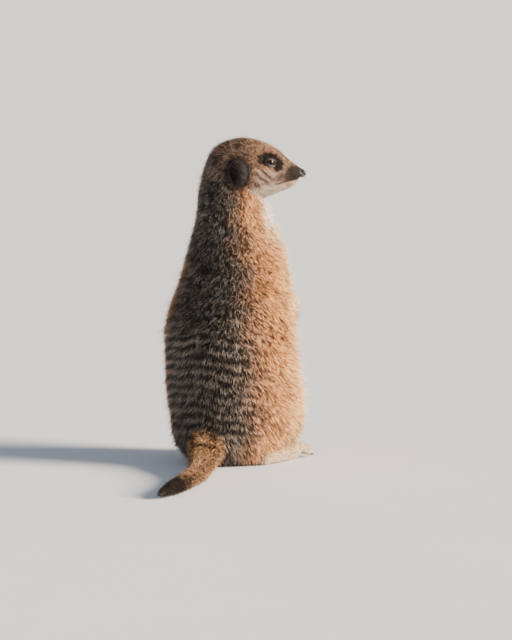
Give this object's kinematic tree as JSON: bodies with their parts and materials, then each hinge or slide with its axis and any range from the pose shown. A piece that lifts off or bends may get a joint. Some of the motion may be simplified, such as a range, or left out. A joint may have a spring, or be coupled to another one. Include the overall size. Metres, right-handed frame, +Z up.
{
  "type": "meerkat",
  "caption": "Still, life-size meerkat sitting upright on its haunches, head turned to look over its right shoulder, tail laid along the floor behind.",
  "frame": {"origin": "middle of the flat on which the rump rests on the floor", "axes": "+Z up, -Y the way the body faces, -X the animal's right side; the head is turned 60 degrees from -Y towards -X"},
  "size_m": [0.1154, 0.2753, 0.2639],
  "materials": {
    "coat": "dense tan and grey-brown fur, ticked with black, with faint dark bands across the lower back",
    "dark_fur": "short blackish-brown fur on the ears, round the eyes and on the tail's tip",
    "paw": "short pale cream-tan fur",
    "nose": "moist, finely pebbled bare skin",
    "eye": "wet dark brown eye under a clear cornea",
    "claw": "smooth dark horn, paler towards the root"
  },
  "bodies": {
    "root": {"head": "coat", "nose": "nose", "eye_right": "eye", "ear_right": "dark_fur", "eye_left": "eye", "ear_left": "dark_fur", "neck": "coat", "chest": "coat", "belly": "coat", "rump": "coat", "upper_arm_right": "coat", "forearm_right": "coat", "forepaw_right": "paw", "thigh_right": "coat", "shank_right": "coat", "hindpaw_right": "paw", "upper_arm_left": "coat", "forearm_left": "coat", "forepaw_left": "paw", "thigh_left": "coat", "shank_left": "coat", "hindpaw_left": "paw", "foreclaw_right_1": "claw", "hindclaw_right_1": "claw", "foreclaw_right_2": "claw", "hindclaw_right_2": "claw", "foreclaw_right_3": "claw", "hindclaw_right_3": "claw", "foreclaw_right_4": "claw", "hindclaw_right_4": "claw", "foreclaw_left_1": "claw", "hindclaw_left_1": "claw", "foreclaw_left_2": "claw", "hindclaw_left_2": "claw", "foreclaw_left_3": "claw", "hindclaw_left_3": "claw", "foreclaw_left_4": "claw", "hindclaw_left_4": "claw", "tail_root": "coat", "tail_middle": "coat", "tail_end": "coat", "tail_tip": "dark_fur"}
  },
  "joints": []
}
